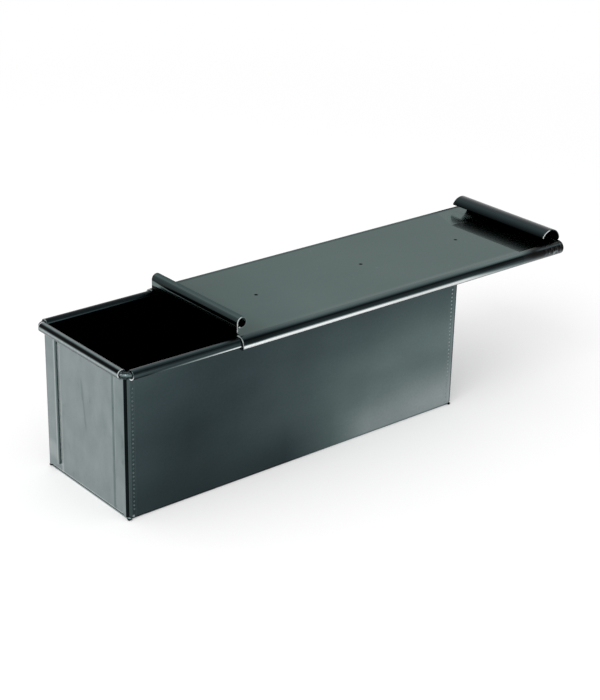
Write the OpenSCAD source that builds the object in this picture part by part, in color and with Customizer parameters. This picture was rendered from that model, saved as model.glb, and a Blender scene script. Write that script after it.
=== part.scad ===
// Lidded loaf pan of folded blued steel sheet. A trough, two end panels, one
// rim wire and a lid that slides on the rolled rims of the long sides.
// X runs along the pan, Z is up, and the origin is the middle of the underside.

/* [Pan] */
// Outside length between the end panels' outer faces
pan_l = 300; // [220:5:420]
// Outside width between the long sides' outer faces
pan_w = 100; // [75:5:150]
// Height of the rim roll's underside above the table
wall_h = 105.5; // [70:0.5:140]

/* [Sheet] */
// Thickness of the steel sheet
sheet_t = 0.8; // [0.6:0.1:1.1]
// Radius inside the folds of the trough
fold_r = 1.2; // [1:0.1:2]
// Radius inside the folds of the end panels
panel_fold_r = 0.8; // [0.5:0.1:1.5]
// Relief left where two folds would cross at a corner
relief = 0.4; // [0.2:0.1:1]

/* [Rim] */
// Diameter of the wire in the rim
wire_d = 5; // [4:0.1:6]
// Gap left between the wire and the sheet rolled round it
wire_play = 0.3; // [0.1:0.1:0.5]
// How far round the wire the sheet is rolled
roll_turn = 308; // [270:1:315]
// Gap between the ends of two rolls at a corner, where the wire is bare
corner_gap = 0.2; // [0.2:0.1:3]

/* [End panels] */
// Width of the flanges that lie inside the long sides
flange_w = 10; // [7:0.5:14]
// Width of the flange that lies on the bottom
foot_w = 10; // [7:0.5:14]

/* [Corner tabs] */
// Width of the tabs that wrap from the long sides onto the ends
tab_w = 14; // [12:0.5:22]
// Rise of the bevel at a tab's lower end
tab_bevel = 7; // [4:0.5:12]
// Width of the hem folded back under a tab's free edge
hem_w = 6; // [4:0.5:8]
// Gap inside the hem
hem_gap = 0.1; // [0.1:0.1:0.3]
// Gap from the top of a tab to the underside of the rim roll
tab_drop = 0.4; // [0.3:0.1:2]

/* [Lid] */
// Length of the lid's rolled channels
lid_l = 314; // [230:1:440]
// How far the lid stands open
lid_open = 97; // [0:1:150]
// Gap between the rim's top and the lid's underside
lid_play = 0.3; // [0.2:0.1:0.6]
// Gap between the rim's outer side and the channel
channel_play = 1; // [0.6:0.1:1.5]
// How far the channel's lip is rolled in past the lowest point
lip_turn = 15; // [0:1:20]
// Slant cut from the lower half of each channel's left end
channel_bevel = 2; // [0.5:0.5:4]

/* [Lid handles] */
// Distance from the middle of each channel to the handles' ends
handle_inset = 2.3; // [1:0.1:15]
// Slit between the scroll's ends and the strip of sheet beside each channel
corner_slit = 0.4; // [0.3:0.1:0.9]
// Outside radius of the scroll at the left end
scroll_r = 4.2; // [3.5:0.1:7]
// Height of the scroll's centre above the lid's top face
scroll_h = 8.2; // [8:0.1:14]
// Radius of the sheet's middle where it turns up into the scroll
scroll_bend_r = 2; // [1.5:0.1:6]
// How far round the scroll is curled
scroll_turn = 314; // [270:1:314]
// Outside radius of the hook at the right end
hook_r = 10.5; // [8:0.5:16]
// Radius of the sheet's middle where it turns up into the hook
hook_bend_r = 2; // [1.5:0.1:3]
// Radius of the sheet's middle in the nose along the hook's free edge
nose_r = 1.8; // [1.2:0.1:3]
// How far round the nose is curled
nose_turn = 45; // [30:1:100]
// Overhang of the hook past the channels' ends
hook_out = 8; // [3:0.1:10]

/* [Vents] */
// Diameter of the steam vents in the lid
vent_d = 2; // [1.5:0.1:4]

/* [Hidden] */
$fn = 96;
steel = [0.27, 0.31, 0.31];
steel_dark = [0.2, 0.23, 0.24];
wire_grey = [0.42, 0.45, 0.45];
// Every cut runs this far past the sheet
cut = 1;

// Rim: one circle is the section of every roll
wire_r = wire_d / 2;
roll_in_r = wire_r + wire_play;
roll_r = roll_in_r + sheet_t;
rim_z = wall_h + roll_r;
rim_top = rim_z + roll_r;
// Centre lines of the rim wire and of the rolls
side_y = pan_w / 2 - sheet_t + roll_r;
end_x = pan_l / 2 - sheet_t + roll_r;
// The rolls stop where the wire starts to bend
wire_corner_r = roll_r + corner_gap;
roll_end_x = end_x - wire_corner_r;
roll_end_y = side_y - wire_corner_r;

// Folds of the trough and hems of its tabs
fold_out_r = fold_r + sheet_t;
hem_t = 2 * sheet_t + hem_gap;
tab_x = pan_l / 2 + hem_t;
corner_x = tab_x - fold_out_r;
corner_y = pan_w / 2 - fold_out_r;
tab_top = wall_h - tab_drop;
relief_z = fold_out_r + relief;
tab_edge_y = tab_w - pan_w / 2;

// Folds of the end panels
panel_out_r = panel_fold_r + sheet_t;
flange_y = pan_w / 2 - sheet_t;
flange_end_x = pan_l / 2 - flange_w;
foot_end_x = pan_l / 2 - foot_w;
panel_edge_y = flange_y - panel_out_r;

// Lid: the channel's circle is set from the rim that runs in it
lid_low = rim_top + lid_play;
lid_top = lid_low + sheet_t;
channel_in_r = roll_r + channel_play;
channel_r = channel_in_r + sheet_t;
channel_z = lid_low - channel_in_r;
lid_x0 = lid_open - lid_l / 2;
lid_x1 = lid_open + lid_l / 2;
handle_y = side_y - handle_inset;
// Places of the vents from the lid's middle, in lengths of the lid and widths of the pan
vents = [[-0.324, -0.01], [0, 0.005], [0.306, -0.035]];
// The handles' sheets run on this far into the flat
handle_root = 12;

// Scroll: leftmost point flush with the channels' ends
scroll_mid_r = scroll_r - sheet_t / 2;
scroll_rise = sheet_t + scroll_h;
scroll_bend_out = scroll_bend_r + sheet_t / 2;

// Hook: the bend's circle and the nose's circle touch the hook's circle from inside,
// in these directions from its centre
bend_way = [0.96, 0.28];
nose_way = [-0.8, 0.6];
bend_angle = atan2(bend_way[1], bend_way[0]);
nose_angle = atan2(nose_way[1], nose_way[0]);
hook_mid_r = hook_r - sheet_t / 2;
hook_bend_at = (hook_mid_r - hook_bend_r) * bend_way;
nose_at = (hook_mid_r - nose_r) * nose_way;
// The hook's centre, and how far it lies below the lid's top face
hook_sink = hook_bend_at[1] - hook_bend_r + sheet_t / 2;
hook_x = lid_x1 + hook_out - hook_r;
hook_z = lid_top - hook_sink;
// The flat and the channels run on to where the hook turns up
flat_x1 = hook_x + hook_bend_at[0];

// A filled wedge from angle a0 to angle a1, reaching past radius r
module wedge(r, a0, a1) {
    steps = ceil((a1 - a0) / 45);
    polygon(concat([[0, 0]], [for (i = [0:steps])
        2 * r * [cos(a0 + (a1 - a0) * i / steps), sin(a0 + (a1 - a0) * i / steps)]]));
}

// Section of sheet bent round a point: r is the radius of the sheet's middle
module bend(r, a0, a1) {
    intersection() {
        difference() {
            circle(r + sheet_t / 2);
            circle(r - sheet_t / 2);
        }
        wedge(r + sheet_t, a0, a1);
    }
}

// Section of the sheet rolled round the wire, from the wall's side outwards
module rim_roll() {
    translate([0, rim_z]) bend(roll_r - sheet_t / 2, 0, roll_turn);
}

// Extrudes a section drawn in (y, z) along X, from x0 to x1
module along_x(x0, x1) {
    translate([x0, 0, 0]) rotate([90, 0, 90]) linear_extrude(x1 - x0) children();
}

// Extrudes a section drawn in (x, z) along Y, from -half to half
module along_y(half) {
    translate([0, half, 0]) rotate([90, 0, 0]) linear_extrude(2 * half) children();
}

// Section of the trough's bottom and long sides, up to the tabs' height
module trough_section() {
    difference() {
        union() {
            translate([-corner_y, 0]) square([2 * corner_y, tab_top]);
            translate([-pan_w / 2, fold_out_r]) square([pan_w, tab_top - fold_out_r]);
            for (s = [-1, 1]) translate([s * corner_y, fold_out_r]) circle(fold_out_r);
        }
        union() {
            translate([-corner_y, sheet_t]) square([2 * corner_y, tab_top]);
            translate([-flange_y, fold_out_r]) square([2 * flange_y, tab_top]);
            for (s = [-1, 1]) translate([s * corner_y, fold_out_r]) circle(fold_r);
        }
    }
}

// Section of one long side's top: the wall and its roll
module side_rim_section() {
    translate([-pan_w / 2, tab_top]) square([sheet_t, rim_z - tab_top]);
    translate([-side_y, 0]) rim_roll();
}

// Plan of one corner fold and hemmed tab, in the corner of -X and -Y
module tab_plan() {
    fold_x = -tab_x + hem_t / 2;
    hem_y = tab_edge_y - hem_t / 2;
    translate([-corner_x, -corner_y]) bend(fold_r + sheet_t / 2, 180, 270);
    translate([-tab_x, -corner_y]) square([sheet_t, hem_y + corner_y]);
    translate([fold_x, hem_y]) bend(hem_t / 2 - sheet_t / 2, 0, 180);
    translate([-pan_l / 2 - sheet_t, hem_y - hem_w]) square([sheet_t, hem_w]);
}

// The tab stands clear of the bottom fold and is bevelled at its lower end
module tab() {
    difference() {
        translate([0, 0, relief_z]) linear_extrude(tab_top - relief_z) tab_plan();
        translate([-tab_x - cut, 0, 0]) rotate([90, 0, 90]) linear_extrude(fold_out_r + 2 * cut)
            polygon([[-corner_y, 0], [-corner_y, relief_z], [tab_edge_y, tab_bevel],
                [tab_edge_y + cut, tab_bevel], [tab_edge_y + cut, 0]]);
    }
}

// One folded sheet: the bottom, both long sides, their tabs and their rolls
module trough() {
    color(steel_dark) union() {
        difference() {
            along_x(-pan_l / 2, pan_l / 2) trough_section();
            for (s = [-1, 1]) translate([s * (corner_x + hem_t) - hem_t, -pan_w, relief_z])
                cube([2 * hem_t, 2 * pan_w, wall_h]);
        }
        for (s = [0, 1]) mirror([0, s, 0])
            along_x(-roll_end_x, roll_end_x) side_rim_section();
        for (s = [0, 1], e = [0, 1]) mirror([e, 0, 0]) mirror([0, s, 0]) tab();
    }
}

// Section of an end panel at -X, from its foot up to the tabs' height
module panel_section() {
    x0 = -pan_l / 2;
    bend_x = x0 + panel_out_r;
    bend_z = sheet_t + panel_out_r;
    translate([bend_x, sheet_t]) square([-foot_end_x - bend_x, sheet_t]);
    translate([bend_x, bend_z]) bend(panel_out_r - sheet_t / 2, 180, 270);
    translate([x0, bend_z]) square([sheet_t, tab_top - bend_z]);
}

// Section of an end panel's top: the wall and its roll
module panel_rim_section() {
    translate([-pan_l / 2, tab_top]) square([sheet_t, rim_z - tab_top]);
    translate([-end_x, 0]) rim_roll();
}

// Plan of one side flange of the end panel, in the corner of -X and -Y
module flange_plan() {
    bend_x = -pan_l / 2 + panel_out_r;
    bend_y = -flange_y + panel_out_r;
    translate([bend_x, bend_y]) bend(panel_out_r - sheet_t / 2, 180, 270);
    translate([bend_x, -flange_y]) square([-flange_end_x - bend_x, sheet_t]);
}

// One pressed sheet with flanges on three edges and a roll on the fourth
module end_panel() {
    color(steel) union() {
        difference() {
            along_y(panel_edge_y) panel_section();
            for (s = [-1, 1])
                translate([-pan_l / 2 - cut, s * panel_edge_y - relief, 0])
                    cube([foot_w + 2 * cut, 2 * relief, relief_z]);
        }
        for (s = [0, 1]) mirror([0, s, 0]) translate([0, 0, relief_z])
            linear_extrude(tab_top - relief_z) flange_plan();
        along_y(roll_end_y) panel_rim_section();
    }
}

module end_panel_left() {
    end_panel();
}

module end_panel_right() {
    mirror([1, 0, 0]) end_panel();
}

// One wire bent into a rectangle, bare at the four corners
module rim_wire() {
    color(wire_grey) translate([0, 0, rim_z]) union() {
        for (s = [-1, 1]) {
            translate([-roll_end_x, s * side_y, 0]) rotate([0, 90, 0])
                cylinder(r = wire_r, h = 2 * roll_end_x);
            translate([s * end_x, roll_end_y, 0]) rotate([90, 0, 0])
                cylinder(r = wire_r, h = 2 * roll_end_y);
        }
        for (e = [0, 1], s = [0, 1]) mirror([e, 0, 0]) mirror([0, s, 0])
            translate([roll_end_x, roll_end_y, 0]) rotate_extrude(angle = 90)
                translate([wire_corner_r, 0]) circle(wire_r);
    }
}

// Section of the lid between its ends, in (y, z): the flat and both channels
module lid_section() {
    translate([-side_y, lid_low]) square([2 * side_y, sheet_t]);
    for (s = [0, 1]) mirror([s, 0]) translate([-side_y, channel_z])
        bend(channel_in_r + sheet_t / 2, 90, 270 + lip_turn);
}

// Slanted wedge that trims the lower half of a channel's left end
module left_trim() {
    translate([lid_x0, 0, 0]) rotate([90, 0, 0]) linear_extrude(2 * pan_w, center = true)
        polygon([[-cut, channel_z], [0, channel_z], [channel_bevel, channel_z - channel_r - cut],
            [-cut, channel_z - channel_r - cut]]);
}

// Profile of the sheet from the flat up into the scroll, in (x, z)
module scroll_profile() {
    translate([lid_x0, lid_low]) {
        translate([scroll_bend_out, 0]) square([handle_root, sheet_t]);
        translate([scroll_bend_out, scroll_bend_out]) bend(scroll_bend_r, 180, 270);
        translate([0, scroll_bend_out]) square([sheet_t, scroll_rise - scroll_bend_out]);
        translate([scroll_r, scroll_rise]) bend(scroll_mid_r, 180 - scroll_turn, 180);
    }
}

// Profile of the sheet from the flat up into the hook and its nose, in (x, z)
module hook_profile() {
    translate([hook_x, hook_z]) {
        translate([hook_bend_at[0] - handle_root, hook_sink - sheet_t])
            square([handle_root, sheet_t]);
        translate(hook_bend_at) bend(hook_bend_r, -90, bend_angle);
        bend(hook_mid_r, bend_angle, nose_angle);
        translate(nose_at) bend(nose_r, nose_angle, nose_angle + nose_turn);
    }
}

// One sheet: a flat with three vents, a channel along each side and two handles
module lid() {
    slit_y = handle_y + corner_slit;
    color(steel) union() {
        difference() {
            along_x(lid_x0, flat_x1) lid_section();
            translate([lid_x0 - cut, -slit_y, lid_low - cut])
                cube([scroll_bend_out + cut, 2 * slit_y, sheet_t + 2 * cut]);
            for (v = vents) translate([lid_open + v[0] * lid_l, v[1] * pan_w, lid_low - cut])
                cylinder(d = vent_d, h = sheet_t + 2 * cut);
            left_trim();
        }
        along_y(handle_y) scroll_profile();
        along_y(handle_y) hook_profile();
    }
}

trough();
end_panel_left();
end_panel_right();
rim_wire();
lid();
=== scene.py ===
import math

import bpy
import numpy as np
from mathutils import Matrix, Vector


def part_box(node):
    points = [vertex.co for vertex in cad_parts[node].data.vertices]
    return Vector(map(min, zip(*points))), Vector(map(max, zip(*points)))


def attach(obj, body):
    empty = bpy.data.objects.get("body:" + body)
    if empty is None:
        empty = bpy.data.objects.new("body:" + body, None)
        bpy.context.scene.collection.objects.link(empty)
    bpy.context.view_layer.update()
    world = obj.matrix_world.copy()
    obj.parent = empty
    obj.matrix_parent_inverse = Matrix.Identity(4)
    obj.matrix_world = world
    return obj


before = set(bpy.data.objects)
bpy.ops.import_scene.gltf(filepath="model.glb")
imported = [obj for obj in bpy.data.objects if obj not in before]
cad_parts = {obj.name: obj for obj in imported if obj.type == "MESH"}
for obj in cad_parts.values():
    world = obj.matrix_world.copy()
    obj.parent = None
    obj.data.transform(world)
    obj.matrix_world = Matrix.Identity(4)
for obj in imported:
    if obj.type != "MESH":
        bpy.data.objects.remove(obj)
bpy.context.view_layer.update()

# The trough: one sheet of 0.8 mm blued steel, folded into the bottom and both long sides, with
# tabs that wrap onto the ends and tops rolled round the wire. The blue-black oxide's shine carries
# a painted reflection of the lit tabletop on the long sides, painted highlights on the rolls and
# painted shade on the folds and along the bottom edge, and it is almost black inside.
SHEET = 0.0008
WIRE_R, ROLL_R = 0.0025, 0.0036         # outside radii of the wire and of the rolls round it
wire_low, wire_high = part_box("rim_wire")
ROLL_X = wire_high.x - WIRE_R           # centre line of the wire and the rolls
ROLL_Y = wire_high.y - WIRE_R
ROLL_Z = wire_low.z + WIRE_R
ROLL_END = ROLL_R + 0.0002              # a roll stops this far before the corner of the wire
RIM_LOW = ROLL_Z - ROLL_R - 0.0002      # just under the lowest line of the rolls
END_FACE = ROLL_X - ROLL_R + SHEET      # outer faces of the end panels, from the middle
SIDE_FACE = ROLL_Y - ROLL_R + SHEET     # outer faces of the long sides
INSIDE_X = END_FACE - 0.0006            # a little outside the inner faces
INSIDE_Y = SIDE_FACE - 0.0006
FOLD_R = 0.0020
FOLD_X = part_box("trough")[1].x - FOLD_R    # where the flat faces turn into the corner fold
FOLD_Y = SIDE_FACE - FOLD_R
WELD_X = END_FACE - 0.0040              # the row of weld spots, from the middle
STITCH = 0.0016                         # the wheel's track on either side of that row
TAB_EDGE = 0.0360                       # the free edges of the tabs on the ends, from the middle
TAB_FOOT = SHEET + 0.0004               # the bottom sheet's cut edge at the ends lies below this


class Tone:
    """A value that changes over a surface: an output socket of a material, used as a number is."""

    def __init__(self, tree, socket):
        self.tree, self.socket = tree, socket

    def node(self, kind, settings, sockets, out=0):
        """Adds a node, sets its settings, then gives its sockets values or links."""
        made = self.tree.nodes.new(kind)
        for key, value in settings.items():
            if key == "stops":
                ramp = made.color_ramp.elements
                while len(ramp) < len(value):
                    ramp.new(1.0)
                for stop, (place, colour) in zip(ramp, value):
                    stop.position, stop.color = place, (*colour, 1.0)
            else:
                setattr(made, key, value)
        for key, value in sockets.items():
            if isinstance(value, Tone):
                self.tree.links.new(value.socket, made.inputs[key])
            else:
                made.inputs[key].default_value = value
        return Tone(self.tree, made.outputs[out] if made.outputs else None)

    def math(self, operation, *values):
        return self.node("ShaderNodeMath", {"operation": operation}, dict(enumerate(values)))

    def __add__(self, other):
        return self.math("ADD", self, other)

    def __radd__(self, other):
        return self.math("ADD", other, self)

    def __sub__(self, other):
        return self.math("SUBTRACT", self, other)

    def __rsub__(self, other):
        return self.math("SUBTRACT", other, self)

    def __mul__(self, other):
        return self.math("MULTIPLY", self, other)

    def __rmul__(self, other):
        return self.math("MULTIPLY", other, self)

    def __truediv__(self, other):
        return self.math("DIVIDE", self, other)

    def __abs__(self):
        return self.math("ABSOLUTE", self)

    def least(self, low):
        return self.math("MAXIMUM", self, low)

    def most(self, high):
        return self.math("MINIMUM", self, high)

    def turn(self, across):
        """The angle in degrees of a point that lies this far up and that far across."""
        return self.math("ARCTAN2", self, across) * (180 / math.pi)

    def above(self, low, high):
        """0 below low, 1 above high, and a smooth step between; low above high turns it round."""
        return self.node("ShaderNodeMapRange", {"interpolation_type": "SMOOTHSTEP"},
                         {"Value": self, "From Min": low, "From Max": high})

    def near(self, middle, half, soft):
        """1 within half of middle, falling smoothly to 0 over soft."""
        return abs(self - middle).above(half + soft, half)

    def over(self, other, mask):
        """This value where mask is 1, and the other where it is 0."""
        return mask * self + (1 - mask) * other

    def curve(self, *stops):
        """A value read off straight lines through (place, value) stops, and level past both ends."""
        low, high = stops[0][0], stops[-1][0]
        line = [((at - low) / (high - low), (value, value, value)) for at, value in stops]
        return self.node("ShaderNodeValToRGB", {"stops": line}, {"Fac": (self - low) / (high - low)})

    def noise(self, scale, detail=3.0, stretch=(1, 1, 1), place=(0, 0, 0)):
        """Smooth noise on the surface's own coordinates, around 0, with features 1/scale metres wide."""
        where = self.node("ShaderNodeMapping", {}, {"Vector": self, "Location": place, "Scale": stretch})
        made = self.node("ShaderNodeTexNoise", {}, {"Vector": where, "Scale": scale, "Detail": detail})
        return made - 0.5


def steel_start(name):
    """A new material: its object coordinates as one socket and as x, y and z."""
    made = bpy.data.materials.new(name)
    made.use_nodes = True
    made.node_tree.nodes.clear()
    tree = made.node_tree
    place = Tone(tree, tree.nodes.new("ShaderNodeTexCoord").outputs["Object"])
    split = tree.nodes.new("ShaderNodeSeparateXYZ")
    tree.links.new(place.socket, split.inputs[0])
    return made, place, *(Tone(tree, o) for o in split.outputs)


OXIDE = [(0.0, (0, 0, 0)), (0.05, (0.033, 0.050, 0.054)), (0.15, (0.106, 0.147, 0.145)),
         (0.30, (0.262, 0.302, 0.306)), (0.60, (0.57, 0.60, 0.60)), (1.0, (0.97, 1.0, 1.0))]
GREEN_OXIDE = [(0.0, (0, 0, 0)), (0.15, (0.106, 0.154, 0.147)), (0.30, (0.265, 0.302, 0.300)),
               (1.0, (0.97, 1.0, 1.0))]


def steel_finish(shine, roughness, height, dull=None, glazed=None):
    """Bare or blued metal: shine, its reflectance, picks the oxide's colour, and height is its relief.
    Where dull is 1 it is matt, which the script uses mostly under painted light and painted shade, and
    where glazed is 1 it is a thicker and greener oxide."""
    relief = shine.node("ShaderNodeBump", {}, {"Strength": 0.6, "Distance": 0.001, "Height": height})
    sheet = {"Metallic": 1 - dull if dull else 1.0, "Roughness": roughness, "Normal": relief,
             "Specular IOR Level": 0.0}
    oxide = shine.node("ShaderNodeValToRGB", {"stops": OXIDE}, {"Fac": shine})
    steel = shine.node("ShaderNodeBsdfPrincipled", {}, {"Base Color": oxide, **sheet})
    if glazed:
        glaze = shine.node("ShaderNodeValToRGB", {"stops": GREEN_OXIDE}, {"Fac": shine})
        thick = shine.node("ShaderNodeBsdfPrincipled", {}, {"Base Color": glaze, **sheet,
                                                            "Specular Tint": (0.6, 0.6, 0.6, 1)})
        steel = shine.node("ShaderNodeMixShader", {}, {0: glazed, 1: steel, 2: thick})
    shine.node("ShaderNodeOutputMaterial", {}, {"Surface": steel})


def dress(name, material):
    """Gives a CAD node this material alone."""
    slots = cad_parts[name].data.materials
    slots.clear()
    slots.append(material)


def end_shine(place, y, z):
    """The ends' shine: pale, which is painted light, with soft upright smears, small marks and a scrape,
    and slightly lighter towards the bottom.
    """
    smear = place.noise(26, 4, stretch=(1, 1, 0.5), place=(0.3, 0.1, 0.7))
    blotch = place.noise(95, 3, stretch=(1, 1, 0.6), place=(0.6, 0.2, 0.4))
    mark = place.noise(120, 3, stretch=(1, 1, 0.5)).above(0.12, 0.26)
    slant = y - 0.0035 - 0.13 * (z - 0.066)
    scrape = (slant + 0.004 * blotch).near(0, 0.0004, 0.0014) * z.near(0.066, 0.013, 0.010)
    return 0.258 + 0.06 * smear + 0.10 * blotch - 0.05 * mark - 0.05 * scrape + 0.014 * z.above(0.05, 0.01)


steel, place, x, y, z = steel_start("trough_steel")
out_x, out_y = abs(x), abs(y)
cloud = place.noise(9, 3, place=(0.2, 0.5, 0.1))
grain = place.noise(520, 4)
# The long sides' shine near the rim, half way down and near the bottom: painted reflection of the
# tabletop, with painted shade low on the left and a pool of painted light low on the right.
wall_light_high = x.curve((-0.140, 0.065), (-0.080, 0.047), (0.030, 0.063), (0.145, 0.065))
wall_light_middle = x.curve((-0.140, 0.050), (-0.100, 0.035), (-0.060, 0.043), (0.000, 0.083),
                      (0.070, 0.136), (0.145, 0.144))
wall_light_low = x.curve((-0.140, 0.044), (-0.100, 0.036), (-0.015, 0.036), (0.028, 0.110),
                   (0.065, 0.270), (0.145, 0.315))
wall = wall_light_high.over(wall_light_middle.over(wall_light_low, z.above(0.004, 0.050)), z.above(0.050, 0.108))
wall = wall * (1 + 0.9 * cloud + 0.30 * place.noise(45, 4, stretch=(0.4, 1, 1)) + 0.22 * grain)
stitch = out_x.near(WELD_X - STITCH, 0.0001, 0.0005) + out_x.near(WELD_X + STITCH, 0.0001, 0.0005)
wall = wall + 0.010 * stitch + 0.028 * out_x.near(END_FACE - 0.0014, 0.0005, 0.0007)
# Along the bottom edge of the long sides the shine is painted shade, dark on the left and lighter to the
# right, and matt.
low_edge_shade = z.above(0.0022, 0.0014) * out_y.above(SIDE_FACE - 0.0025, SIDE_FACE - 0.0015)
wall = (0.020 + 0.13 * x.above(-0.02, 0.06)).over(wall, low_edge_shade)
# On the tabs the free edge is painted darker as the shade of the gap, with a painted highlight just behind
# it on the far tabs, and the near tabs' upper part is painted a little darker.
hem_highlight = 0.12 * y.near(TAB_EDGE + 0.0013, 0.0004, 0.0006)
tab = end_shine(place, y, z) + 0.02 * grain + hem_highlight
tab = tab + 0.07 * y.near(0.044, 0.004, 0.004) * z.near(0.017, 0.003, 0.006)
tab = tab * (1 - 0.40 * out_y.above(TAB_EDGE + 0.0008, TAB_EDGE + 0.0003)) \
    * (1 - 0.14 * y.above(-0.037, -0.039) * z.above(0.02, 0.05))
shine = tab.over(wall, out_x.above(END_FACE - 0.0005, END_FACE))
# The corner folds are painted black: painted shade.
fold_shade = (out_x - FOLD_X).least(0.0) * (out_y - FOLD_Y).least(0.0)
fold_shade = (fold_shade * (2 / FOLD_R ** 2)).above(0.04, 0.30)
shine = shine * (1 - 0.97 * fold_shade)
turn = (z - ROLL_Z).turn(out_y - ROLL_Y)
rim = z.above(RIM_LOW, RIM_LOW + 0.0003) * out_y.above(INSIDE_Y, INSIDE_Y + 0.0004) \
    * out_x.above(FOLD_X, FOLD_X - 0.0004)
# The near roll's shine by its turn: bands of painted reflection, painted darker on top next to the lid as
# its shadow.
body = turn.curve((-34, 0.005), (-14, 0.036), (8, 0.045), (18, 0.026), (36, 0.008), (48, 0.020),
                  (60, 0.036), (72, 0.080), (84, 0.050), (100, 0.003))
body = body * (1 + x.curve((-0.145, 0.35), (-0.120, 0.0), (-0.085, -0.75)) * turn.near(2, 10, 10)) \
    * (1 - 0.75 * x.above(-0.078, -0.066) * turn.above(52, 66))
# A painted highlight along the lower side of the near roll, growing towards the lid.
painted_bright_strip = turn.curve((-38, 1.0), (-30, 0.85), (-24, 0.38), (-16, 0.06), (-10, 0.0)) \
    * x.curve((-0.137, 0.005), (-0.112, 0.15), (-0.085, 0.45), (-0.066, 0.95)) \
    * (1 - 0.4 * x.above(-0.080, -0.068) * turn.above(-30, -18))
roll = (body + painted_bright_strip).over(0.012 + 0.006 * turn.near(60, 10, 20), y.above(0.001, -0.001))
shine = (roll + 0.01 * grain).over(shine, rim)
# The rolls' cut ends are bare, bright steel, with a painted highlight on their lower part.
ring = 0.10 + 0.55 * turn.above(20, -20) + 0.15 * turn.near(120, 20, 30) + 0.9 * grain
shine = ring.over(shine, rim * out_x.above(ROLL_X - ROLL_END - 0.0005, ROLL_X - ROLL_END - 0.0003))
inside = out_y.above(INSIDE_Y, INSIDE_Y - 0.0001) * out_x.above(INSIDE_X, INSIDE_X - 0.0001) \
    * z.above(SHEET - 0.0004, SHEET - 0.0001)
shine = shine * (1 - 0.985 * inside)
# At the bottom of the ends the shine is painted light and matt, against the shade where the pan meets the
# tabletop.
end_foot_light = out_x.above(END_FACE - 0.0006, END_FACE - 0.0002) * z.above(TAB_FOOT, TAB_FOOT - 0.0002)
shine = 0.30 * end_foot_light + shine * (1 - end_foot_light)
# Matt under the painted shade of the bottom edge and the right-hand folds and under the painted light at
# the ends' foot; not inside.
scale = (low_edge_shade + fold_shade * x.above(0.0, 0.1) + end_foot_light).most(1.0) * (1 - inside)
height = 0.16 * place.noise(22, 2) + 0.012 * grain
height = height + 0.052 * (-20 - turn).least(0.0) * rim * y.above(0.001, -0.001)
rough = 0.30 + 0.10 * place.noise(60, 3) + 0.15 * inside - 0.14 * rim
steel_finish(shine, rough, height, dull=scale)
dress("trough", steel)

# The end panels: a pressed sheet at each end, flanged inwards and welded to the long sides, with
# its top rolled round the wire. Their pale, smeared tone is painted light, the same on both ends,
# and their foot is painted lighter against the shade where they stand on the tabletop.
steel, place, x, y, z = steel_start("end_panel_steel")
out_x, out_y = abs(x), abs(y)
grain = place.noise(520, 4)
# Beside the far tabs' free edge the panel is painted lighter, much lighter right at the edge above the
# bottom centimetre, and beside the near tabs painted darker as their shade.
tab_light_and_shade = 0.12 * y.near(TAB_EDGE - 0.0025, 0.0008, 0.0008) \
    - 0.09 * y.near(0.0032 - TAB_EDGE, 0.0010, 0.0010) \
    + 0.5 * y.above(TAB_EDGE - 0.0020, TAB_EDGE - 0.0012) * z.above(0.006, 0.010)
# At the foot the panel is painted lighter and matt, against the shade where it stands on the tabletop.
foot = z.above(0.0030, 0.0018)
shine = end_shine(place, y, z) + 0.02 * grain + tab_light_and_shade + 0.16 * foot + 0.10 * z.above(0.0020, 0.0015)
turn = (z - ROLL_Z).turn(out_x - ROLL_X)
rim = z.above(RIM_LOW, RIM_LOW + 0.0003) * out_x.above(INSIDE_X + 0.0003, INSIDE_X + 0.0006)
# The end rolls' shine by their turn: bands of painted reflection and painted highlight.
painted_roll_bands = turn.curve((-34, 0.02), (-26, 0.035), (-14, 0.08), (-4, 0.27), (8, 0.37), (16, 0.28),
                    (25, 0.04), (31, 0.0), (55, 0.0), (61, 0.020), (68, 0.10), (78, 0.19), (88, 0.20),
                    (98, 0.07), (106, 0.0))
shine = (painted_roll_bands * (1 + 0.6 * grain)).over(shine, rim)
# The rolls' cut ends are bare, bright steel, with a painted highlight on their upper part.
ring = 0.12 + 0.65 * turn.above(-40, 10) + 0.9 * grain
shine = ring.over(shine, rim * out_y.above(ROLL_Y - ROLL_END - 0.0006, ROLL_Y - ROLL_END - 0.0004))
inside = out_x.above(INSIDE_X, INSIDE_X - 0.0001)
shine = shine * (1 - 0.985 * inside)
height = 0.22 * place.noise(18, 3, stretch=(1, 1, 0.5)) + 0.012 * grain
rough = 0.34 + 0.10 * place.noise(60, 3) + 0.15 * inside - 0.18 * rim
steel_finish(shine, rough, height, dull=foot)
for name in ("end_panel_left", "end_panel_right"):
    dress(name, steel)

# The rim wire: plain drawn steel wire, 5 mm, bent into one rectangle and held in the rolls. It
# shows only round the corners, where grease and oxide lie between a painted highlight along its
# upper side and bright specks.
steel, place, x, y, z = steel_start("rim_wire_steel")
grain = place.noise(700, 4)
drawn = place.noise(900, 2, stretch=(0.1, 0.1, 1))
wire_highlight = (z - ROLL_Z).near(0.0009, 0.0003, 0.0007)
speck = place.noise(620, 3, place=(0.4, 0.4, 0.9)).above(0.10, 0.22)
shine = 0.030 + 0.14 * wire_highlight + 0.10 * grain + 0.05 * drawn + 0.40 * speck
steel_finish(shine, 0.34 + 0.12 * grain, 0.05 * drawn + 0.03 * grain)
dress("rim_wire", steel)


def add_piece(name, points, faces, material, body):
    """A mesh from arrays of points and faces, riding on a body and taking the given material."""
    mesh = bpy.data.meshes.new(name)
    mesh.from_pydata(points.tolist(), [], faces)
    mesh.polygons.foreach_set("use_smooth", np.ones(len(mesh.polygons), bool))
    mesh.materials.append(material)
    mesh.update()
    made = bpy.data.objects.new(name, mesh)
    bpy.context.scene.collection.objects.link(made)
    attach(made, body)
    return made


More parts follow.
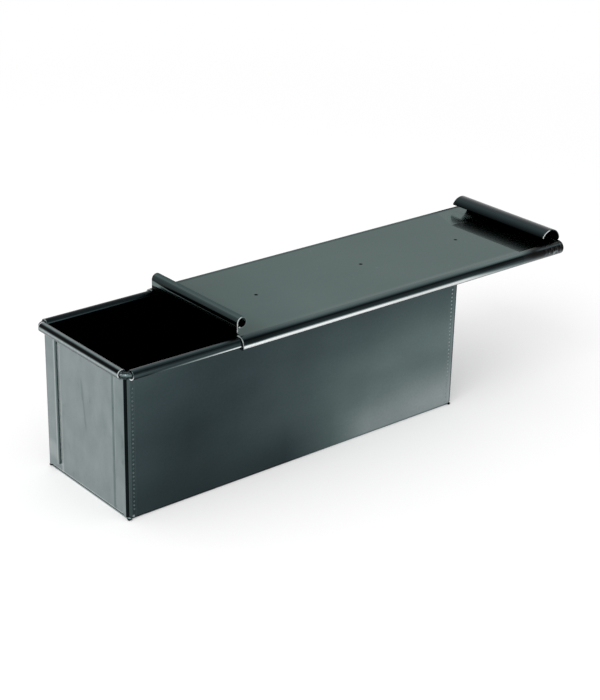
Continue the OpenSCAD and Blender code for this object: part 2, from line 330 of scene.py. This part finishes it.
def bead_faces(rings, sides, count):
    """The faces of closed beads, each given as rings of points from top to bottom and two poles."""
    i, j = np.meshgrid(np.arange(rings - 1), np.arange(sides), indexing="ij")
    k = (j + 1) % sides
    quads = np.stack([i * sides + j, (i + 1) * sides + j, (i + 1) * sides + k, i * sides + k], -1)
    j, k = j[0], k[0]
    top, last = rings * sides, (rings - 1) * sides
    cap = np.stack([np.full(sides, top), j, k], -1)
    foot = np.stack([np.full(sides, top + 1), last + k, last + j], -1)
    faces = []
    for base in np.arange(count) * (rings * sides + 2):
        faces += (quads.reshape(-1, 4) + base).tolist() + (cap + base).tolist() + (foot + base).tolist()
    return faces


def turned_beads(profile, sides, middles, outward, along, upward):
    """Many small turned shapes. Point (i, j) of each is middle + outward * height[i]
    + radius[i] * (along * cos(j) + upward * sin(j)), and the first and last radius are 0."""
    radius, height = np.array(profile).T
    angle = np.arange(sides) * 2 * np.pi / sides
    ring = np.stack([np.outer(radius[1:-1], np.cos(angle)), np.outer(radius[1:-1], np.sin(angle))], -1)
    points = []
    for middle, out_way, along_way, up_way in zip(middles, outward, along, upward):
        body = middle + out_way * height[1:-1, None, None]
        body = body + ring[..., :1] * along_way + ring[..., 1:] * up_way
        points += [body.reshape(-1, 3), middle + out_way * height[[0, -1], None]]
    return np.concatenate(points), bead_faces(len(radius) - 2, sides, len(middles))


# The weld spots: a row up each long side near both ends, where the wheel of a seam welder joined
# the side to the end panel's flange and left a shallow ringed dot every 3 mm.
SPOT_PITCH = 0.00311
SPOT_LOW, SPOT_HIGH = 0.0075, 0.1005
spot_z = np.arange(SPOT_LOW, SPOT_HIGH, SPOT_PITCH)
drift = np.random.default_rng(7).normal(0, 1, (4, len(spot_z), 2)) * (0.00010, 0.00012)
spots, out_dir, along_dir, up_dir = [], [], [], []
for row, (side_x, side_y) in enumerate(((-1, -1), (1, -1), (-1, 1), (1, 1))):
    spots.append(np.stack([side_x * WELD_X + drift[row, :, 0], np.full(len(spot_z), side_y * SIDE_FACE),
                           spot_z + drift[row, :, 1]], -1))
    out_dir.append(np.tile([0.0, side_y, 0.0], (len(spot_z), 1)))
    along_dir.append(np.tile([side_y * -1.0, 0.0, 0.0], (len(spot_z), 1)))
    up_dir.append(np.tile([0.0, 0.0, 1.0], (len(spot_z), 1)))
SPOT = [(0, 0.00005), (0.00028, 0.00007), (0.00046, 0.00015), (0.00062, 0.00013), (0.00080, -0.00002),
        (0.00050, -0.00010), (0, -0.00010)]
SPOT_SIDES = 10
steel, place, x, y, z = steel_start("weld_spot_steel")
grain = place.noise(1500, 3)
# The spots on the right are painted lighter, as the sides' painted reflection is there.
shine = 0.12 + 0.35 * grain + 0.14 * place.noise(160, 2) + 0.16 * x.above(-0.05, 0.05)
steel_finish(shine, 0.38 + 0.1 * grain, 0.05 * grain)
points, faces = turned_beads(SPOT, SPOT_SIDES, np.concatenate(spots), np.concatenate(out_dir),
                             np.concatenate(along_dir), np.concatenate(up_dir))
add_piece("weld_spots", points, faces, steel, "pan")

# The corner welds: two small beads of filler at each bottom corner, which close the gap between
# the folds. They are left as they cooled, lumpy and bright, and the near left one is the largest.
LARGE_BEAD, BEAD = 0.0019, 0.0014
SECOND_BEAD = (0.0011, 0.0007, 0.0010)
BEAD_RINGS, BEAD_SIDES = 9, 16
beads, radii = [], []
for side_x in (-1, 1):
    for side_y in (-1, 1):
        size = LARGE_BEAD if side_x + side_y < 0 else BEAD
        beads += [(side_x * (END_FACE - 0.0002), side_y * (SIDE_FACE - 0.0003), size - 0.0004),
                  (side_x * (END_FACE - 0.0032), side_y * (SIDE_FACE - 0.0001), 0.0024)]
        radii += [(size, size, size - 0.0005), SECOND_BEAD]
v, u = np.meshgrid(np.linspace(0, np.pi, BEAD_RINGS + 2)[1:-1],
                   np.arange(BEAD_SIDES) * 2 * np.pi / BEAD_SIDES, indexing="ij")
points = []
for n, (middle, size) in enumerate(zip(beads, radii)):
    lump = 1 + 0.10 * np.sin(3 * u + 2.1 * n) * np.sin(2 * v + n)
    ball = np.stack([np.sin(v) * np.cos(u), np.sin(v) * np.sin(u), np.cos(v)], -1) * lump[..., None]
    body = (np.array(middle) + ball * np.array(size)).reshape(-1, 3)
    points += [body, np.array(middle) + np.array([[0, 0, size[2]], [0, 0, -size[2]]])]
faces = bead_faces(BEAD_RINGS, BEAD_SIDES, len(beads))
steel, place, x, y, z = steel_start("corner_weld_steel")
out_x = abs(x)
grain = place.noise(900, 4)
# The beads' lower part is painted black, as shade where they meet the tabletop, and they are a little
# darker next to the end.
shine = (0.28 - 0.12 * out_x.above(END_FACE - 0.0022, END_FACE - 0.0015) + 0.7 * grain) \
    * z.above(0.0017, 0.0024) + 0.006
steel_finish(shine, 0.36 + 0.15 * grain, 0.2 * grain)
add_piece("corner_welds", np.concatenate(points), faces, steel, "pan")

# The lid: one sheet of the same steel, with a channel rolled along each long side, a scroll at
# one end and an open hook at the other. Its top is the smoothest oxide, almost a dark mirror,
# and its shine is painted with bands of reflection, a painted highlight below each channel's
# widest line and painted shade by the hook.
lid_low, lid_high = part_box("lid")
LID_LEFT = lid_low.x
LID_PLAY = 0.0003                       # the lid lies this far above the rolls
LID_UNDER = ROLL_Z + ROLL_R + LID_PLAY
LID_TOP = LID_UNDER + SHEET
CHANNEL_Y = ROLL_Y                      # centre line of the channels
CHANNEL_R = lid_high.y - CHANNEL_Y
CHANNEL_Z = LID_TOP - CHANNEL_R
END_SLOPE = 0.3125                      # slant of the channels' left ends, across over down
SCROLL_R = 0.0042
SCROLL_X, SCROLL_Z = LID_LEFT + SCROLL_R, LID_TOP + 0.0082
SCROLL_BACK = SCROLL_X + 0.0044         # the scroll lies left of this
RIDGE_Z = SCROLL_Z - 0.0030             # a crease along the scroll, raised by bump and carrying a painted highlight
HOOK_X, HOOK_Z, HOOK_R = 0.2515, 0.11313, 0.0105
HOOK_FRONT = 0.2385                     # the hook lies right of this
HOOK_DIP = 0.2142                       # from here on, rolling the hook pulled the flat out of true
HOOK_ROOT = 0.2560                      # the flat is painted black right of this, as shade where it meets the hook
VENTS = (-0.00474, -0.0010), (0.0970, 0.0005), (0.19308, -0.0035)
VENT_RIM, VENT_EDGE = 0.0018, 0.0012
HANDLE_Y = 0.0505                       # the ends of the scroll and the hook
steel, place, x, y, z = steel_start("lid_steel")
out_y = abs(y)
grain = place.noise(520, 4)
cloud = place.noise(12, 3, place=(0.7, 0.3, 0.2))
# The top's shine is painted light, darker towards the scroll.
shine = x.curve((-0.052, 0.098), (-0.028, 0.136), (0.018, 0.158)) + 0.022 * cloud \
    + 0.007 * place.noise(70, 4, stretch=(0.3, 1, 1)) + 0.006 * grain
speck = place.noise(210, 2, place=(0.1, 0.9, 0.4)).above(0.20, 0.27)
# A painted sheen along the near edge, growing to the right.
painted_bright_strip = y.above(-0.0480, -0.0515) * x.curve((-0.05, 0), (0.06, 0.7), (0.16, 1))
shine = shine + 0.03 * speck + 0.035 * painted_bright_strip
far_bend = y.above(CHANNEL_Y - 0.0033, CHANNEL_Y - 0.0003)
shine = shine * (1 - 0.05 * y.above(-0.03, 0.04)) * (1 - 0.50 * far_bend)
left_tip = x.above(-0.036, -0.044)
turn = (z - CHANNEL_Z).turn(out_y - CHANNEL_Y)
channel = out_y.above(CHANNEL_Y - 0.0004, CHANNEL_Y + 0.0002)
# The channels' shine by their turn: bands of painted reflection, fading to dark towards the hook as its
# painted shade.
edge = turn.curve((-90, 0.04), (-46, 0.04), (-38, 0.02), (8, 0.030), (16, 0.022), (26, 0.016), (34, 0.004),
                  (42, 0.018), (50, 0.062), (60, 0.102), (72, 0.124), (84, 0.104), (90, 0.084))
edge = edge * x.curve((-0.05, 0.5), (0.00, 1.0), (0.12, 1.0), (0.17, 1.25), (0.212, 1.30),
                      (0.226, 0.08), (0.245, 0.02)) \
    * (1 + x.above(0.150, 0.180) * (0.25 * turn.near(56, 8, 8) - 0.55 * turn.near(26, 12, 8)))
# The painted highlight below each channel's widest line, weaker to the right and at the left tip.
channel_highlight = turn.curve((-43, 0.0), (-35, 0.97), (-12, 0.97), (-4, 0.36), (4, 0.0)) \
    * x.curve((0.055, 1.0), (0.090, 0.84), (0.150, 0.76), (0.185, 0.34), (0.215, 0.13), (0.235, 0.03)) \
    * (1 - 0.6 * x.above(0.150, 0.185) * turn.above(-26, -8)) \
    * (1 - 0.3 * x.near(0.120, 0.035, 0.025) * turn.above(-28, -40)) \
    * (1 - 0.6 * left_tip * turn.above(-8, 0))
hatch = place.noise(420, 2, stretch=(1, 1, 0.4)) * left_tip
crimp = place.noise(330, 3, stretch=(1, 0.7, 0.7)).above(0.0, 0.2) * x.above(0.236, 0.244)
edge = edge + channel_highlight * (0.95 + 0.9 * hatch) + 0.22 * crimp * turn.near(-30, 22, 16)
edge = edge + 0.05 * turn.near(48, 3, 8) * x.above(0.226, 0.236) \
    + 0.025 * left_tip * turn.above(-40, -50)
shine = edge.over(shine, channel)
round_scroll = x.above(SCROLL_BACK + 0.0006, SCROLL_BACK) * z.above(LID_TOP + 0.0002, LID_TOP + 0.0005)
curl = (z - SCROLL_Z).turn(SCROLL_X - x)
# The scroll's shine by its curl: bands of painted reflection, a painted highlight on the crease and
# painted black low down as its shade.
scroll = curl.curve((-10, 0.002), (0, 0.008), (12, 0.026), (24, 0.036), (36, 0.038), (48, 0.053),
                    (58, 0.098), (68, 0.088), (78, 0.066), (130, 0.072))
far_end = y.above(0.028, 0.050)
ridge = z.near(RIDGE_Z + 0.0007 * far_end, 0.0006 + 0.0007 * far_end, 0.0010) \
    * x.above(LID_LEFT + 0.0006, LID_LEFT + 0.0002)
scroll = (scroll + 0.17 * ridge) * z.above(SCROLL_Z - 0.0070, SCROLL_Z - 0.0035)
shine = scroll.over(shine, round_scroll)
round_hook = x.above(HOOK_FRONT, HOOK_FRONT + 0.0003) * z.above(LID_TOP + 0.0003, LID_TOP + 0.0008)
arch = (z - HOOK_Z).turn(x - HOOK_X)
far_out = (x - HOOK_X) * (x - HOOK_X) + (z - HOOK_Z) * (z - HOOK_Z)
# The hook's shine by its arch: bands of painted reflection, and painted black inside the curl as its
# shade.
hook = arch.curve((60, 0.030), (100, 0.026), (112, 0.030), (120, 0.035), (128, 0.027), (136, 0.017),
                  (144, 0.008), (152, 0.002), (180, 0.001))
hook = hook * far_out.above((HOOK_R - 0.0006) ** 2, (HOOK_R - 0.0002) ** 2) + 0.001
shine = hook.over(shine, round_hook)
for vent_x, vent_y in VENTS:
    from_vent = (x - vent_x) * (x - vent_x) + (y - vent_y) * (y - vent_y)
    shine = shine * (1 - 0.85 * from_vent.above(VENT_RIM ** 2, VENT_EDGE ** 2))
# The lid's underside is painted almost black: painted shade.
under = z.above(LID_UNDER + 0.0001, LID_UNDER) * out_y.above(CHANNEL_Y, CHANNEL_Y - 0.0004)
shine = shine * (1 - 0.93 * under)
handle_end = out_y.near(HANDLE_Y, 0.00004, 0.00004) * z.above(LID_TOP + 0.0001, LID_TOP + 0.0003)
# The cut ends of the scroll and hook are bare steel, with a painted highlight that follows their curl.
cut_edge_highlight = (x.above(0.1, 0.0) * (0.14 + 0.34 * curl.near(10, 60, 30))
             + x.above(0.1, 0.2) * (0.02 + 0.60 * arch.above(92, 104)))
shine = (cut_edge_highlight * (1 + 0.8 * grain)).over(shine, handle_end)
slant = x - LID_LEFT - END_SLOPE * (CHANNEL_Z - z).least(0.0)
left_end = slant.above(0.00016, 0.00008) * out_y.above(HANDLE_Y + 0.0002, HANDLE_Y + 0.0003) \
    * z.above(CHANNEL_Z - 0.0045, CHANNEL_Z - 0.0020)
shine = (0.34 + 0.6 * grain).over(shine, left_end)
dip = (x - HOOK_DIP - 0.4 * (y - 0.023).least(0.0)).least(0.0)
# Painted black where the flat meets the hook: painted shade.
hook_root_shade = x.above(HOOK_ROOT, HOOK_ROOT + 0.0010) * z.near(LID_TOP + 0.0002, 0.0003, 0.0002)
shine = shine * (1 - hook_root_shade)
# Matt on the scroll's top, the channels' cut ends, the painted shade at the hook's root and most of the
# far bend, and a little where the flat dips.
scale = round_scroll * curl.above(66, 78) + left_end + hook_root_shade + 0.8 * far_bend
scale = (scale + 0.3 * dip.above(0.0, 0.003) * y.above(0.024, 0.036) * x.above(0.246, 0.240)).most(1.0)
height = 0.09 * place.noise(16, 2) + 0.008 * grain + 0.9 * crimp * channel + 0.26 * ridge
height = height - 175 * dip * z.above(LID_TOP + 0.0003, LID_TOP + 0.0001)
curls = (round_scroll + round_hook).most(1.0)
rough = 0.12 + 0.03 * place.noise(40, 3) + 0.14 * channel + 0.10 * curls
steel_finish(shine, rough, height, scale,
             (1 - round_hook) * (1 - 0.4 * round_scroll) * (1 - channel))
dress("lid", steel)

# The tabletop: a plain pale surface that keeps the pan's shadow and fades into white far away.
TABLE_RINGS = (0.3, 0.9, 2.0, 3.5, 6.0)
TABLE_SIDES = 64
FADE_FROM, FADE_TO = 0.40, 1.3          # distances from the middle, over which it turns white
i, j = np.meshgrid(np.arange(len(TABLE_RINGS)), np.arange(TABLE_SIDES), indexing="ij")
ring, side = np.array(TABLE_RINGS)[i], j * 2 * np.pi / TABLE_SIDES
points = np.stack([ring * np.cos(side), ring * np.sin(side), 0 * ring], -1).reshape(-1, 3)
points = np.concatenate([points, [[0.0, 0.0, 0.0]]])
i, j = i[:-1], j[:-1]
k = (j + 1) % TABLE_SIDES
quads = np.stack([i * TABLE_SIDES + j, (i + 1) * TABLE_SIDES + j, (i + 1) * TABLE_SIDES + k,
                  i * TABLE_SIDES + k], -1).reshape(-1, 4).tolist()
middle = np.stack([np.full(TABLE_SIDES, len(points) - 1), j[0], k[0]], -1).tolist()
mesh = bpy.data.meshes.new("tabletop")
mesh.from_pydata(points.tolist(), [], quads + middle)
table = bpy.data.objects.new("tabletop", mesh)
bpy.context.scene.collection.objects.link(table)
pale, place, x, y, z = steel_start("tabletop_paper")
far = 0.25 + 0.75 * (x * x + y * y).above(FADE_FROM ** 2, FADE_TO ** 2)
paper = x.node("ShaderNodeBsdfDiffuse", {}, {"Color": (0.93, 0.93, 0.93, 1)})
white = x.node("ShaderNodeEmission", {}, {"Color": (1, 1, 1, 1), "Strength": 1.0})
fade = x.node("ShaderNodeMixShader", {}, {0: far, 1: paper, 2: white})
x.node("ShaderNodeOutputMaterial", {}, {"Surface": fade})
mesh.materials.append(pale)

# The light: white all round, as inside a light tent, and one large soft lamp up on the left.
world = bpy.data.worlds.new("light_tent")
bpy.context.scene.world = world
world.use_nodes = True
world.node_tree.nodes.clear()
tree = world.node_tree
path = tree.nodes.new("ShaderNodeLightPath")
seen = Tone(tree, path.outputs["Is Camera Ray"]) + Tone(tree, path.outputs["Is Glossy Ray"]) \
    + Tone(tree, path.outputs["Is Transmission Ray"])
seen = seen.most(1.0)
sky = seen.node("ShaderNodeBackground", {}, {"Color": (1, 1, 1, 1), "Strength": 0.95 + 0.05 * seen})
seen.node("ShaderNodeOutputWorld", {}, {"Surface": sky})

lamp = bpy.data.lights.new("soft_lamp", "AREA")
lamp.shape, lamp.size, lamp.energy = "DISK", 1.4, 16.0
lamp_object = bpy.data.objects.new("soft_lamp", lamp)
lamp_from = Vector((-1.3, -0.5, 1.6))
lamp_object.matrix_world = Matrix.Translation(lamp_from) @ (Vector((0, 0, 0.05)) - lamp_from) \
    .to_track_quat("-Z", "Y").to_matrix().to_4x4()
bpy.context.scene.collection.objects.link(lamp_object)

# The camera stands where the photograph's did, by the directions of the pan's straight edges.
CAMERA_AT = (-0.69722, -0.87599, 0.56803)
YAW, PITCH, ROLL = 0.698732, 0.419129, 0.024712
FOCAL_PX, TALL_PX = 1670.8, 700
look = Vector((math.sin(YAW) * math.cos(PITCH), math.cos(YAW) * math.cos(PITCH), -math.sin(PITCH)))
level = Vector((math.cos(YAW), -math.sin(YAW), 0))
rise = level.cross(look)
right = math.cos(ROLL) * level + math.sin(ROLL) * rise
above = math.cos(ROLL) * rise - math.sin(ROLL) * level
camera = bpy.data.cameras.new("camera")
camera.sensor_width = 36.0
camera.lens = FOCAL_PX * camera.sensor_width / TALL_PX
camera.clip_start, camera.clip_end = 0.02, 30
camera_object = bpy.data.objects.new("camera", camera)
axes = Matrix((right, above, -look)).transposed().to_4x4()
camera_object.matrix_world = Matrix.Translation(CAMERA_AT) @ axes
bpy.context.scene.collection.objects.link(camera_object)
bpy.context.scene.camera = camera_object
bpy.context.scene.view_settings.view_transform = "Standard"
